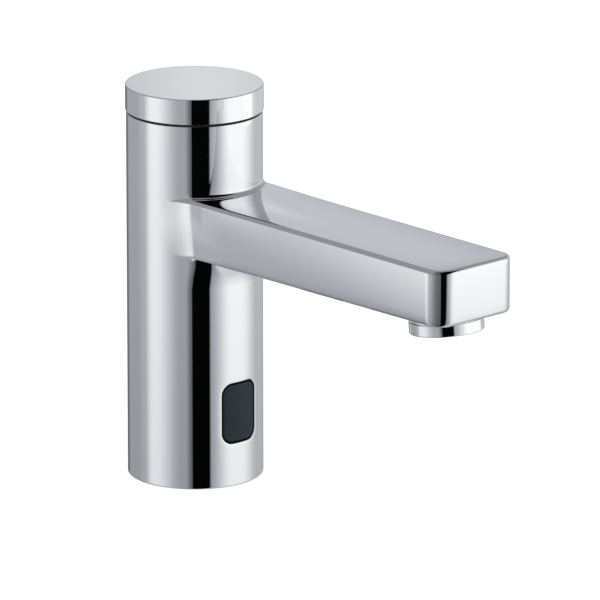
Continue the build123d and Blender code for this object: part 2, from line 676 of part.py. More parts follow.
def diaphragm_carrier():
    z0 = CARRIER_TOP_Z - CARRIER_T
    disc = rod(CARRIER_R, z0, CARRIER_TOP_Z) + rod(1.2, z0 - NIPPLE_H, z0)
    cross = block(-3.2, 3.2, -0.5, 0.5, CARRIER_TOP_Z, CARRIER_TOP_Z + 2.5)
    guide = cross + Rot(0, 0, 90) * cross
    return disc + guide - rod(PILOT_R, z0 - NIPPLE_H, CARRIER_TOP_Z + 2.5)


def valve_bonnet():
    z0 = LEDGE_Z - BONNET_H
    plate = block(-BONNET_HALF_W, BONNET_HALF_W, -BONNET_HALF_W, BONNET_HALF_W, z0, LEDGE_Z)
    plate = fillet(plate.edges().filter_by(Axis.Z), 2.0)
    plate -= rod(DIAPHRAGM_R + SLIP, LEDGE_Z - DIAPHRAGM_BEAD_T, LEDGE_Z)
    plate -= rod(DIAPHRAGM_R - DIAPHRAGM_BEAD_W, PILOT_FLOOR_Z, LEDGE_Z)
    plate -= rod(GUIDE_R + SLIP, z0, PILOT_FLOOR_Z)
    holes = [
        rod(1.25 + SLIP, z0, LEDGE_Z, sx * BONNET_SCREW_XY, sy * BONNET_SCREW_XY)
        for sx in (-1, 1) for sy in (-1, 1)
    ]
    return plate - holes


def bonnet_screws():
    z0 = LEDGE_Z - BONNET_H
    return join([
        socket_screw(1.02, 2.0, LEDGE_Z + 7.5, z0, 1.8, sx * BONNET_SCREW_XY, sy * BONNET_SCREW_XY, head_up=False)
        for sx in (-1, 1) for sy in (-1, 1)
    ])


def guide_tube():
    shell = rod(GUIDE_R, GUIDE_BOTTOM_Z, PILOT_FLOOR_Z) + rod(GUIDE_R + 1.5, PILOT_FLOOR_Z, PILOT_FLOOR_Z + 0.8)
    shell -= rod(GUIDE_BORE_R, CORE_Z0, PILOT_FLOOR_Z + 0.8)
    return shell - tube(GUIDE_R, GUIDE_R - CLIP_DEPTH, clip_z(), clip_z() + CLIP_T)


def clip_z():
    """Underside of the clip that holds the coil on the guide tube."""
    return COIL_Z0 - YOKE_T - COIL_END_GAP - CLIP_T


def guide_tube_clip():
    z = clip_z()
    clip = tube(GUIDE_R * 1.5, GUIDE_R - CLIP_DEPTH + SLIP, z + PRESS, z + CLIP_T - PRESS)
    return clip - block(-GUIDE_R / 2, GUIDE_R / 2, 0, GUIDE_R * 2, z, z + CLIP_T)


def fixed_core():
    return rod(GUIDE_BORE_R - PRESS, CORE_Z0, CORE_TOP_Z)


def solenoid_armature():
    plunger = rod(GUIDE_BORE_R - FACE, ARMATURE_Z0, ARMATURE_Z1 - 0.5)
    plunger += rod(GUIDE_BORE_R - 1.0, ARMATURE_Z1 - 0.5, ARMATURE_Z1)
    plunger -= rod(ARMATURE_POCKET_R, ARMATURE_Z0, ARMATURE_Z0 + ARMATURE_POCKET_H)
    return plunger - rod(1.7, ARMATURE_Z1 - 1.6, ARMATURE_Z1)


def armature_seal():
    return rod(1.68, ARMATURE_Z1 - 1.6, ARMATURE_Z1)


def armature_spring():
    return coil_spring(2.0, 0.25, CORE_TOP_Z, ARMATURE_Z0 + ARMATURE_POCKET_H, 6)


def coil_bobbin():
    sleeve = tube(GUIDE_R + FACE + 1.0, GUIDE_R + FACE, COIL_Z0, COIL_Z1)
    lower = tube(COIL_R, GUIDE_R + FACE, COIL_Z0, COIL_Z0 + COIL_FLANGE_T)
    return sleeve + lower + Pos(0, 0, COIL_Z1 - COIL_Z0 - COIL_FLANGE_T) * lower


def coil_winding():
    return tube(COIL_R - 0.6, GUIDE_R + FACE + 1.0 + PRESS, COIL_Z0 + COIL_FLANGE_T, COIL_Z1 - COIL_FLANGE_T)


def solenoid_yoke():
    outer = COIL_R + 0.6 + YOKE_T
    z0, z1 = COIL_Z0 - COIL_END_GAP - YOKE_T, COIL_Z1 + COIL_END_GAP + YOKE_T
    frame = block(-outer, outer, -YOKE_HALF_W, YOKE_HALF_W, z0, z1)
    inner = outer - YOKE_T
    frame -= block(-inner, inner, -YOKE_HALF_W, YOKE_HALF_W, z0 + YOKE_T, z1 - YOKE_T)
    return frame - rod(GUIDE_R + SLIP, z0, z1)


# ---- battery bay
def battery_tray():
    tray = rod(TRAY_R, MANIFOLD_TOP, TRAY_TOP)
    inner_l, inner_w = BATTERY_L + 2 * BORE_FIT, BATTERY_W + 2 * BORE_FIT
    wall = rounded_bar(
        inner_l + 2 * TRAY_WALL, inner_w + 2 * TRAY_WALL, BATTERY_CORNER + TRAY_WALL, TRAY_TOP, TRAY_TOP + TRAY_WALL_H
    )
    wall -= rounded_bar(inner_l, inner_w, BATTERY_CORNER, TRAY_TOP, TRAY_TOP + TRAY_WALL_H)
    tray = (tray + wall) - rod(BATTERY_LEAD_R + FACE, MANIFOLD_TOP, TRAY_TOP, x=LEAD_HOLE_X)
    x, y = TRAY_SCREW_XY
    return tray - [rod(1.2 + SCREW_FIT, MANIFOLD_TOP, TRAY_TOP, side * x, -side * y) for side in (-1, 1)]


def tray_screws():
    x, y = TRAY_SCREW_XY
    return join([
        socket_screw(1.2, 2.2, MANIFOLD_TOP - 4.5, TRAY_TOP, 1.8, side * x, -side * y) for side in (-1, 1)
    ])


def battery_contacts():
    return join([
        block(side * 9 - 3, side * 9 + 3, -2, 2, TRAY_TOP, BATTERY_Z0) for side in (-1, 1)
    ])


def battery_pack():
    pack = rounded_bar(BATTERY_L, BATTERY_W, BATTERY_CORNER, BATTERY_Z0, BATTERY_Z0 + BATTERY_H)
    return chamfer(pack.edges().sort_by(Axis.Z)[-8:], 0.6)


# ---- leads
def lead(points, radius):
    """A round lead along straight runs joined by the largest tangent arcs that the runs allow."""
    vectors = [Vector(*p) for p in points]
    radii = []
    for before, corner, after in zip(vectors, vectors[1:], vectors[2:]):
        arrive, leave = corner - before, after - corner
        half_turn = math.radians(arrive.get_angle(leave)) / 2
        radii.append(0.45 * min(arrive.length, leave.length) / math.tan(half_turn))
    print("lead radii", [round(r, 1) for r in radii])
    path = FilletPolyline(*vectors, radius=radii)
    section = Plane(path @ 0, z_dir=path % 0) * Circle(radius)
    return sweep(section, path=path)


def battery_lead():
    x = LEAD_HOLE_X
    return lead([
        (x, 0.0, TRAY_TOP - FACE),
        (x, 0.35, MANIFOLD_TOP - 13.0),
        (x, -0.2, LEDGE_Z - 4.0),
        (x - 0.3, 3.0, COIL_Z0 + 9.5),
        (x - 0.8, 8.0, COIL_Z0 - 7.0),
        (LEAD_ENTRY_X, 7.5, LEAD_ENTRY_Z),
        (LEAD_ENTRY_X, BOARD_FRONT_Y + BOARD_T + FACE, LEAD_ENTRY_Z),
    ], BATTERY_LEAD_R)


def solenoid_lead():
    return lead([
        (-5.0, COIL_R - 1.4, COIL_Z0 - 3 * FACE),
        (-8.0, 9.0, COIL_Z0 - 10.5),
        (-LEAD_ENTRY_X, 3.0, LEAD_ENTRY_Z),
        (-LEAD_ENTRY_X, BOARD_FRONT_Y + BOARD_T + FACE, LEAD_ENTRY_Z),
    ], SOLENOID_LEAD_R)


PIECES = [
    body_casting, base_insert, base_screws, base_seal_ring,
    top_cap, cap_seal_ring, cap_gasket,
    spout_tube, aerator_socket, aerator_housing, aerator_insert, aerator_screens, flow_regulator, aerator_seal,
    sensor_lens, sensor_gasket, sensor_housing, sensor_back_cover, sensor_circuit_board,
    infrared_emitter, infrared_receiver, control_chip, sensor_screws, lead_grommets,
    inlet_strainer, check_valve_housing, check_valve_seat, check_valve_poppet, check_valve_spring, check_valve_cap,
    riser_pipe, valve_manifold, manifold_seal_rings, cross_drill_plug, manifold_circlip,
    diaphragm, diaphragm_carrier, valve_bonnet, bonnet_screws, guide_tube, guide_tube_clip, fixed_core,
    solenoid_armature, armature_seal, armature_spring, coil_bobbin, coil_winding, solenoid_yoke,
    battery_tray, tray_screws, battery_contacts, battery_pack, battery_lead, solenoid_lead,
]

os.makedirs("parts", exist_ok=True)
for piece in PIECES:
    export_step(piece(), f"parts/{piece.__name__}.step")
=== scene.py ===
import json
import math

import bmesh
import bpy
import numpy as np
from mathutils import Matrix, Vector


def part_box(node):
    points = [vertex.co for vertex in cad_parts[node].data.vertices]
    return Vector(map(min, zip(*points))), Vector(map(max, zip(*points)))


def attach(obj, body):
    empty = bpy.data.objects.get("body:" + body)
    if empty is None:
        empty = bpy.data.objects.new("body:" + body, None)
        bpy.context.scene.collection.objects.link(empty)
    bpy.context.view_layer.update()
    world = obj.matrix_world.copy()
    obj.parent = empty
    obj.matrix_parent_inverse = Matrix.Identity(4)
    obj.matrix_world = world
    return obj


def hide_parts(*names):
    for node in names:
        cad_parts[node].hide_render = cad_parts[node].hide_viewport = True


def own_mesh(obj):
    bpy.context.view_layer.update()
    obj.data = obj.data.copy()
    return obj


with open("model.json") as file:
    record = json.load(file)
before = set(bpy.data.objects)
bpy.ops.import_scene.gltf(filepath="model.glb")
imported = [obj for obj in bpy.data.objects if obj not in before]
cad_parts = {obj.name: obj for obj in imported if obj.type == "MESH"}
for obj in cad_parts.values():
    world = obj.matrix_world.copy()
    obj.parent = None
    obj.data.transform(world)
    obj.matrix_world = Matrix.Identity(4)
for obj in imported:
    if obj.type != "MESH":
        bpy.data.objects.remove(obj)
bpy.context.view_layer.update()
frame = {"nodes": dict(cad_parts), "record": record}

# Sizes are in millimetres, in the same frame as the CAD: Z up, the spout along -Y.
MM = 0.001

# the column
COLUMN_R = 25.0
BORE_R = 22.0
COLUMN_TOP = 137.2
FOOT_ROUND = 0.6
RIM_ROUND = 0.15

# the spout; its reach is from the column's axis to the tip
SPOUT_HALF_W = 18.65
SPOUT_TOP = 110.3
UNDERSIDE_ROOT = 88.1
UNDERSIDE_TIP = 89.5
REACH = 151.0
TIP_CORNER = 6.0
EDGE_ROUND = 1.5

# The spout's root: its fillet against the column; how much each side of the spout widens towards it, all of that
# ROOT_FLARE_Y in front of the axis, fading out above and below; how much more it widens along its top; and the hollow
# rounding of the crease above and below it.
ROOT_BLEND = 3.4
ROOT_FLARE = 1.1
ROOT_FLARE_Y = 16.0
ROOT_FLARE_LENGTH = 24.0
ROOT_FLARE_LIMIT = 1.3
ROOT_FADE = 11.0
TOP_FLARE = 1.0
TOP_FLARE_LENGTH = 40.0
TOP_FLARE_H = 14.0
CREASE = 1.8

# the window in the column's front, and the dark pane in it with its flange behind the wall
WINDOW_Z = 27.8
WINDOW_HALF_W = 7.9
WINDOW_HALF_H = 11.45
WINDOW_CORNER = 4.2
WINDOW_ROUND = 0.45
LENS_R = 24.8
LENS_GAP = 0.6
LENS_EDGE = 0.35
LENS_DEPTH = 3.0
FLANGE_R = 21.4
FLANGE_BACK_R = 19.5
FLANGE_W = 2.4

# the outlet: the middle of its lower face, and how many degrees it points away from the column
OUTLET = (0.0, -134.8, 82.5)
OUTLET_TILT = 7.0

# How far the polished faces of the spout bulge: radii of the crown that polishing leaves on them. It comes in a
# little way out from the column.
SIDE_CROWN_R = 80.0
TOP_CROWN_R = 170.0
TIP_CROWN_R = 150.0
CROWN_START = 3.0
CROWN_RISE = 12.0

# Polishing also rolls the faces over (radians): the sides' lowest stretch, the top's last stretch before the tip,
# the tip itself, and the top beside the column.
LOW_ROLL = 0.25
LOW_ROLL_H = 4.5
DROOP = 0.07
DROOP_LENGTH = 16.0
TIP_LEAN = 0.03
ROOT_ROLL = 0.09
ROOT_ROLL_LENGTH = 24.0

# Just under the spout the column's front is hollowed towards it, and turned a little to either side.
UNDER_ROLL_R = 10.8
UNDER_STEEPEST = 0.75
UNDER_EDGE_Y = 21.0
UNDER_FADE = 3.6
UNDER_TURN = 0.1
UNDER_TURN_X = 12.0
UNDER_TURN_Y = 14.0
UNDER_TURN_FADE = 4.0

# The rim of the window is dished.
DISH = 0.1
DISH_WIDTH = 2.5

# The tip's left corner is a little faceted: how many degrees round the corner the true surface is (beyond both ends
# so many degrees a millimetre), and how many degrees round the polished one looks. Normals that are nearly upright,
# or that point to the right, are left alone.
CORNER_PER_MM = 10
CORNER_UPRIGHT = 0.1
CORNER_RIGHT = 0.01
CORNER_TRUE = (-20, -10, -8, 0, 9, 17, 32, 45, 49, 62, 73, 82, 90, 100, 130)
CORNER_SEEN = (0, 2.5, 18, 22.5, 28, 37.5, 40.4, 41.6, 43.3, 60.5, 64, 76, 82, 85, 90)

# half the distance over which slopes are measured, and how points are moved onto the shape: how often, least slope
PROBE = 0.01
SETTLE_ROUNDS = 8
LEAST_SLOPE = 0.2


# ---- the outer shape as a signed distance
def round_max(a, b, r):
    """Inside of both a and b, with the edge between them rounded to r."""
    return np.minimum(np.maximum(a, b), -r) + np.hypot(np.maximum(a + r, 0), np.maximum(b + r, 0))


def soft_step(t):
    """Rises softly from 0 at 0 to 1 at 1."""
    t = np.clip(t, 0, 1)
    return t**2 * (3 - 2 * t)


def fading(distance, length):
    """1 at no distance, falling to 0 at the length."""
    return np.clip(1 - distance / length, 0, 1) ** 2


def underside(y):
    rise = (UNDERSIDE_TIP - UNDERSIDE_ROOT) / (REACH - COLUMN_R)
    return UNDERSIDE_ROOT + rise * (-y - COLUMN_R)


def window_distance(x, z):
    """Distance outside the window's rounded rectangle, seen from the front."""
    dx = np.abs(x) - WINDOW_HALF_W + WINDOW_CORNER
    dz = np.abs(z - WINDOW_Z) - WINDOW_HALF_H + WINDOW_CORNER
    return np.hypot(np.maximum(dx, 0), np.maximum(dz, 0)) + np.minimum(np.maximum(dx, dz), 0) - WINDOW_CORNER


def root_flare(y, z):
    """How much each side of the spout is widened near the column."""
    middle = soft_step(np.minimum(SPOUT_TOP - z, z - underside(y)) / ROOT_FADE)
    reached = np.clip(1 + (y + ROOT_FLARE_Y) / ROOT_FLARE_LENGTH, 0, ROOT_FLARE_LIMIT) ** 2
    upper = soft_step(1 - (SPOUT_TOP - z) / TOP_FLARE_H)
    return ROOT_FLARE * reached * middle + TOP_FLARE * fading(-y - COLUMN_R, TOP_FLARE_LENGTH) * upper


def body_distance(p):
    x, y, z = p.T
    radius = np.hypot(x, y)
    column = radius - COLUMN_R
    plan = np.maximum(round_max(np.abs(x) - SPOUT_HALF_W - root_flare(y, z), -REACH - y, TIP_CORNER), y)
    near = np.maximum(ROOT_BLEND - np.abs(column - plan), 0) / ROOT_BLEND
    spout = np.minimum(column, plan) - near**2 * ROOT_BLEND / 4
    spout = round_max(spout, z - SPOUT_TOP, EDGE_ROUND)
    spout = round_max(spout, underside(y) - z, EDGE_ROUND)
    # the rounding along the crease above and below the spout, only within its width
    beside = spout + 2 * np.maximum(plan + EDGE_ROUND, 0)
    crease = np.maximum(np.minimum(column, beside), CREASE)
    crease = crease - np.hypot(np.maximum(CREASE - column, 0), np.maximum(CREASE - beside, 0))
    shape = np.minimum(spout, crease)
    shape = round_max(shape, z - COLUMN_TOP, RIM_ROUND)
    shape = round_max(shape, -z, FOOT_ROUND)
    shape = round_max(shape, BORE_R - radius, RIM_ROUND / 2)
    cut = round_max(shape, -window_distance(x, z), WINDOW_ROUND)
    return np.where(y < 0, cut, shape)


def gradient(p):
    slopes = [body_distance(p + step) - body_distance(p - step) for step in np.eye(3) * PROBE]
    return np.stack(slopes, axis=1) / (2 * PROBE)


def settle(p):
    """Moves points onto the outer shape."""
    for _ in range(SETTLE_ROUNDS):
        g = gradient(p)
        p = p - g * (body_distance(p) / np.maximum((g**2).sum(1), LEAST_SLOPE))[:, None]
    return p


def unit(v):
    return v / np.maximum(np.linalg.norm(v, axis=1), 1e-9)[:, None]


# ---- how polishing has leaned the surface's normals over
def facet_corner(n, x, y):
    """Turns the normals round the tip's left corner."""
    level = np.hypot(n[:, 0], n[:, 1])
    corner = (x < 0) & (y < -REACH + 2 * TIP_CORNER) & (level > CORNER_UPRIGHT) & (n[:, 0] < CORNER_RIGHT)
    turn = np.degrees(np.arctan2(-n[corner, 1], -n[corner, 0]))
    turn -= CORNER_PER_MM * np.maximum(REACH - TIP_CORNER + y[corner], 0)
    turn += CORNER_PER_MM * np.maximum(x[corner] + SPOUT_HALF_W - TIP_CORNER, 0)
    turn = np.radians(np.interp(turn, CORNER_TRUE, CORNER_SEEN))
    n[corner, 0] = -level[corner] * np.cos(turn)
    n[corner, 1] = -level[corner] * np.sin(turn)


def spout_lean(n, x, y, z):
    """The crowned faces, the rolled lower edge of the sides, the drooping top and the leaning tip."""
    to_side, to_tip, to_top = (n**2).T
    mid_z = (SPOUT_TOP + underside(y)) / 2
    along_x = x * (to_top / TOP_CROWN_R + to_tip / TIP_CROWN_R)
    along_y = -DROOP * fading(REACH + y, DROOP_LENGTH) * to_top
    along_z = (z - mid_z) * (to_side / SIDE_CROWN_R + to_tip / TIP_CROWN_R)
    along_z -= LOW_ROLL * fading(z - underside(y), LOW_ROLL_H) * (1 - to_top) + TIP_LEAN * to_tip
    crowned = np.clip((-y - COLUMN_R - CROWN_START) / CROWN_RISE, 0, 1)
    return np.stack([along_x, along_y, along_z], axis=1) * crowned[:, None]


def window_lean(x, y, z):
    """The dished rim of the window."""
    dish = DISH * fading(window_distance(x, z), DISH_WIDTH) * (y < 0) / (2 * PROBE)
    along_x = dish * (window_distance(x - PROBE, z) - window_distance(x + PROBE, z))
    along_z = dish * (window_distance(x, z - PROBE) - window_distance(x, z + PROBE))
    return np.stack([along_x, 0 * y, along_z], axis=1)


def root_lean(n, x, y):
    """The spout's top beside the column, rolled away from it."""
    radius = np.hypot(x, y)
    roll = ROOT_ROLL * fading(radius - COLUMN_R, ROOT_ROLL_LENGTH) * np.clip(radius - COLUMN_R, 0, 1) * n[:, 2] ** 2
    return np.stack([x / radius * roll, y / radius * roll, 0 * roll], axis=1)


def hollow_lean(n, x, y, z):
    """The column's front just under the spout."""
    upright = (1 - n[:, 2] ** 2) * (np.hypot(x, y) < COLUMN_R + 1)
    below = z < underside(y)
    slope = np.clip(1 - np.abs(underside(y) - z) / UNDER_ROLL_R, 0, UNDER_STEEPEST) * below
    covered = soft_step((-y - UNDER_EDGE_Y) / UNDER_FADE)
    beside = np.clip((-y - UNDER_TURN_Y) / UNDER_TURN_FADE, 0, 1)
    along_x = UNDER_TURN * np.clip(x / UNDER_TURN_X, -1, 1) * slope * beside * upright
    along_z = -slope / np.sqrt(1 - slope**2) * covered * upright
    return np.stack([along_x, 0 * y, along_z], axis=1)


def polished_normals(p):
    """Exact normals, leaned over where polishing has crowned, rolled, faceted or dished the surface."""
    n = unit(gradient(p))
    x, y, z = p.T
    facet_corner(n, x, y)
    return unit(n + spout_lean(n, x, y, z) + window_lean(x, y, z) + root_lean(n, x, y) + hollow_lean(n, x, y, z))


# ---- meshes
class Sheets:
    """Grids of points that are welded into one mesh where they meet."""

    def __init__(self):
        self.points = []
        self.normals = []
        self.faces = []
        self.settled = []

    def add(self, grid, settled=False, keep=None, normals=None):
        """Adds a grid of points; keep says which of its cells are wanted, settled that they go onto the outer shape."""
        rows, cols = grid.shape[:2]
        start = sum(len(p) for p in self.points)
        self.points.append(grid.reshape(-1, 3))
        self.normals.append(np.zeros((rows * cols, 3)) if normals is None else normals.reshape(-1, 3))
        self.settled.append(np.full(rows * cols, settled))
        i, j = np.meshgrid(np.arange(rows - 1), np.arange(cols - 1), indexing="ij")
        if keep is not None:
            i, j = i[keep], j[keep]
        first = start + (i * cols + j).ravel()
        self.faces.append(np.stack([first, first + 1, first + cols + 1, first + cols], axis=1))

    def weld(self):
        """The welded points, their normals, the faces, and which points are still to be settled."""
        points = np.concatenate(self.points)
        _, first, back = np.unique(np.round(points, 3), axis=0, return_index=True, return_inverse=True)
        faces = back.ravel()[np.concatenate(self.faces)]
        return points[first], np.concatenate(self.normals)[first], faces, np.concatenate(self.settled)[first]


def make_mesh(name, points, faces, normals=None, sharp_deg=None):
    """A smooth-shaded mesh from points in millimetres; a zero normal is left to Blender."""
    mesh = bpy.data.meshes.new(name)
    rings = [[v for k, v in enumerate(face) if v != face[k - 1]] for face in faces.tolist()]
    mesh.from_pydata((points * MM).tolist(), [], [r for r in rings if len(set(r)) > 2])
    mesh.validate()
    shell = bmesh.new()
    shell.from_mesh(mesh)
    bmesh.ops.recalc_face_normals(shell, faces=shell.faces)
    shell.to_mesh(mesh)
    shell.free()
    mesh.polygons.foreach_set("use_smooth", [True] * len(mesh.polygons))
    if sharp_deg:
        mesh.set_sharp_from_angle(angle=math.radians(sharp_deg))
    if normals is not None:
        mesh.normals_split_custom_set_from_vertices(normals.tolist())
    piece = bpy.data.objects.new(name, mesh)
    bpy.context.scene.collection.objects.link(piece)
    return piece


def spaced(stops):
    """Stations from (position, step) pairs: each step runs up to the next position."""
    out = []
    for (a, step), (b, _) in zip(stops, stops[1:]):
        out.extend(np.linspace(a, b, max(1, round((b - a) / step)), endpoint=False))
    return np.array(out + [stops[-1][0]])


def around(half_w, half_h, xs, zs):
    """Points of a rectangle's outline, counter-clockwise from its lower left corner."""
    low = [(x, -half_h) for x in xs[:-1]]
    right = [(half_w, z) for z in zs[:-1]]
    top = [(x, half_h) for x in xs[:0:-1]]
    left = [(-half_w, z) for z in zs[:0:-1]]
    return np.array(low + right + top + left + [(xs[0], -half_h)])


def rounded_outline(share, half_w, half_h, corner):
    """Moves points of a rectangle's outline (as shares of its half sides) to a rounded one; adds normals."""
    flat = share * (half_w, half_h)
    core = np.clip(flat, (corner - half_w, corner - half_h), (half_w - corner, half_h - corner))
    out = unit(flat - core)
    return core + out * corner, out


def on_column(xz, radius):
    """Puts front-view points on the front of an upright cylinder."""
    x, z = xz[..., 0], xz[..., 1]
    return np.stack([x, -np.sqrt(radius**2 - x**2), z], axis=-1)


def rings_round(radii, heights, turns):
    """Rings about the column's axis; a turn of 0 is at the front."""
    radii = np.broadcast_to(radii, heights.shape)[:, None]
    return np.stack([
        radii * np.sin(turns), radii * -np.cos(turns), np.repeat(heights[:, None], len(turns), axis=1)
    ], axis=-1)


# ---- the column and the spout, in one piece
# Stations across the spout's half width, up its half height and along it: (distance from the edge or root, step).
WIDTH_STEPS = [(0, 0.2), (1.6, 0.35), (3, 0.7), (5, 1.2), (8.65, 1)]
MIDDLE_STEPS = [(-9, 0.9), (9, 1)]
HEIGHT_STEPS = [(0, 0.2), (1.6, 0.35), (3, 0.8), (7, 1.3), (11.1, 1)]
REACH_STEPS = [(0, 0.2), (4, 0.5), (6, 1.5), (14, 6), (110, 2), (116, 0.6), (120, 0.3), (126, 1)]
# stations up the column below and above the spout, across its rims, and round it (radians from the front)
LOW_STEPS = [(0, 0.1), (0.8, 0.5), (2, 3), (14, 0.9), (42, 4), (80, 0.5), (84.5, 0.2), (UNDERSIDE_ROOT, 1)]
HIGH_STEPS = [(SPOUT_TOP, 0.2), (114, 0.5), (118, 3.5), (135.5, 0.6), (136.7, 0.1), (COLUMN_TOP, 1)]
RIM_STEPS = [(BORE_R, 0.06), (BORE_R + 0.3, 0.5), (COLUMN_R - 0.9, 0.1), (COLUMN_R, 1)]
BESIDE_SPOUT_STEP = 0.02
TURN_STEPS = [(1.25, 0.04), (1.7, 0.07), (2 * math.pi - 1.7, 0.04), (2 * math.pi - 1.25, 0.02)]
# the rectangle round the window that has a grid of its own, and between which heights it is
PATCH_Z = 28.0
PATCH_HALF_W = 10.0
PATCH_HALF_H = 14.0
PATCH_LOW = PATCH_Z - PATCH_HALF_H
PATCH_HIGH = PATCH_Z + PATCH_HALF_H
# how far the patch's rings are from its rectangle to the hole, and how deep the hole's rings are in the wall
PATCH_SHARES = (0, 0.4, 0.68, 0.84, 0.9, 0.94, 0.965, 0.985, 1.0)
HOLE_DEPTHS = (0, 0.08, 0.16, 0.24, 0.34, 0.6, 1.5, 2.9, 3.0)
# the bore's upper part: radius and height, with the groove of the retaining ring and the ledge under the valve
BORE_PROFILE = np.array([
    (BORE_R, COLUMN_TOP), (BORE_R, 137.1), (BORE_R, 137.0), (BORE_R, 108.35), (22.8, 108.35), (22.8, 107.05),
    (BORE_R, 107.05), (BORE_R, 80.0), (20.4, 80.0), (20.4, 77.0), (BORE_R, 77.0), (BORE_R, PATCH_HIGH),
])
# slack for choosing stations
SLACK = 0.01


def stations():
    """Where the grid lines are: across the spout, up the spout, up the column and round the column."""
    step_in, rise_in = spaced(WIDTH_STEPS), spaced(HEIGHT_STEPS)
    xs = np.concatenate([-SPOUT_HALF_W + step_in, spaced(MIDDLE_STEPS)[1:], SPOUT_HALF_W - step_in[::-1][1:]])
    xs[len(step_in) - 1] = -PATCH_HALF_W
    xs[-len(step_in)] = PATCH_HALF_W
    zs_spout = np.concatenate([UNDERSIDE_ROOT + rise_in, SPOUT_TOP - rise_in[::-1][1:]])
    zs = np.concatenate([spaced(LOW_STEPS)[:-1], zs_spout, spaced(HIGH_STEPS)[1:]])
    front = np.arcsin(xs / COLUMN_R)
    side = spaced([(front[-1], BESIDE_SPOUT_STEP), *TURN_STEPS, (2 * math.pi - front[-1], 1)])
    return xs, zs_spout, zs, np.concatenate([front, side[1:]])


def add_column(sheets, zs, turns):
    """The column's outside, rims and bore, open where the spout and the window's patch are."""
    mid_turn = np.abs((turns[1:] + turns[:-1]) / 2)[None, :]
    mid_z = ((zs[1:] + zs[:-1]) / 2)[:, None]
    at_window = (mid_turn < math.asin(PATCH_HALF_W / COLUMN_R)) & (mid_z > PATCH_LOW) & (mid_z < PATCH_HIGH)
    at_spout = (mid_turn < math.asin(SPOUT_HALF_W / COLUMN_R)) & (mid_z > UNDERSIDE_ROOT) & (mid_z < SPOUT_TOP)
    sheets.add(rings_round(COLUMN_R, zs, turns), settled=True, keep=~(at_window | at_spout))
    across = spaced(RIM_STEPS)
    for z in (COLUMN_TOP, 0.0):
        sheets.add(rings_round(across, np.full(len(across), z), turns), settled=True)
    sheets.add(rings_round(BORE_PROFILE[:, 0], BORE_PROFILE[:, 1], turns))
    low_z = zs[zs <= PATCH_HIGH + SLACK]
    sheets.add(rings_round(BORE_R, low_z, turns), keep=~at_window[: len(low_z) - 1])


def add_window(sheets, xs, zs):
    """From the patch's rectangle to the rounded hole, through the wall, and along the bore."""
    patch_x = xs[np.abs(xs) < PATCH_HALF_W + SLACK]
    patch_z = zs[(zs > PATCH_LOW - SLACK) & (zs < PATCH_HIGH + SLACK)] - PATCH_Z
    rect = around(PATCH_HALF_W, PATCH_HALF_H, patch_x, patch_z)
    hole, _ = rounded_outline(rect / (PATCH_HALF_W, PATCH_HALF_H), WINDOW_HALF_W, WINDOW_HALF_H, WINDOW_CORNER)
    hole = hole + (0, WINDOW_Z)
    rect = rect + (0, PATCH_Z)
    fan = np.array(PATCH_SHARES)[:, None, None]
    sheets.add(on_column(rect[None] + (hole - rect)[None] * fan, COLUMN_R), settled=True)
    sheets.add(np.stack([on_column(hole, COLUMN_R - depth) for depth in HOLE_DEPTHS]), settled=True)
    inner_rect = np.stack([rect[:, 0] * BORE_R / COLUMN_R, rect[:, 1]], axis=1)
    sheets.add(on_column(inner_rect[None] + (hole - inner_rect)[None] * fan[::4], BORE_R))


def add_spout(sheets, xs, zs_spout):
    """The spout's four walls from the column to the tip, and the tip's face."""
    reach = (spaced(REACH_STEPS) / (REACH - COLUMN_R))[:, None]
    level = (zs_spout - UNDERSIDE_ROOT) / (SPOUT_TOP - UNDERSIDE_ROOT)
    root_y = -np.sqrt(COLUMN_R**2 - xs**2)

    def wall(x, root, level):
        y = root * (1 - reach) - REACH * reach
        low = underside(y)
        z = low + (SPOUT_TOP - low) * level
        start = UNDERSIDE_ROOT + (SPOUT_TOP - UNDERSIDE_ROOT) * level
        # the grid lines leave the column at its stations, and have joined the underside's slope after a quarter
        z = start + (z - start) * np.minimum(1, reach * 4)
        return np.stack([np.broadcast_to(x, y.shape), y, np.broadcast_to(z, y.shape)], axis=-1)

    for whole_level in (0.0, 1.0):
        sheets.add(wall(xs[None, :], root_y[None, :], whole_level), settled=True)
    for x in (xs[0], xs[-1]):
        sheets.add(wall(x, np.full((1, len(level)), root_y[0]), level[None, :]), settled=True)
    tip_z = UNDERSIDE_TIP + (SPOUT_TOP - UNDERSIDE_TIP) * level
    tip = np.stack(np.broadcast_arrays(xs[None, :], -REACH, tip_z[:, None]), axis=-1)
    sheets.add(tip, settled=True)


def column_and_spout():
    xs, zs_spout, zs, turns = stations()
    sheets = Sheets()
    add_column(sheets, zs, turns)
    add_window(sheets, xs, zs)
    add_spout(sheets, xs, zs_spout)
    points, normals, faces, settled = sheets.weld()
    points[settled] = settle(points[settled])
    normals[settled] = polished_normals(points[settled])
    return make_mesh("column_and_spout", points, faces, normals, sharp_deg=50)


# ---- the other pieces
# profiles of (radius, height, rounding)
CAP_PROFILE = [
    (0, 145.4, 0), (18.5, 145.4, 0.4), (18.5, 131.0, 0.3), (21.85, 131.0, 0.3), (21.85, 132.85, 0.1),
    (19.89, 132.85, 0.1), (19.89, 135.85, 0.1), (21.85, 135.85, 0.1), (21.85, 138.1, 0.1),
    (25.3, 138.1, 0.1), (25.3, 147.5, 0.4), (0, 147.5, 0),
]
OUTLET_RING_PROFILE = [
    (9.5, 0, 0.3), (13.5, 0, 0.5), (13.5, 4.3, 0.3), (12.0, 4.3, 0.1), (12.0, 9.8, 0.2), (10.4, 9.8, 0.1),
    (10.4, 1.0, 0.1), (9.5, 1.0, 0.1),
]
LATHE_STEPS = 192
# how far apart the points of a rounding are, and how few and how many it may have
ARC_STEP = 0.06
ARC_POINTS = (3, 8)

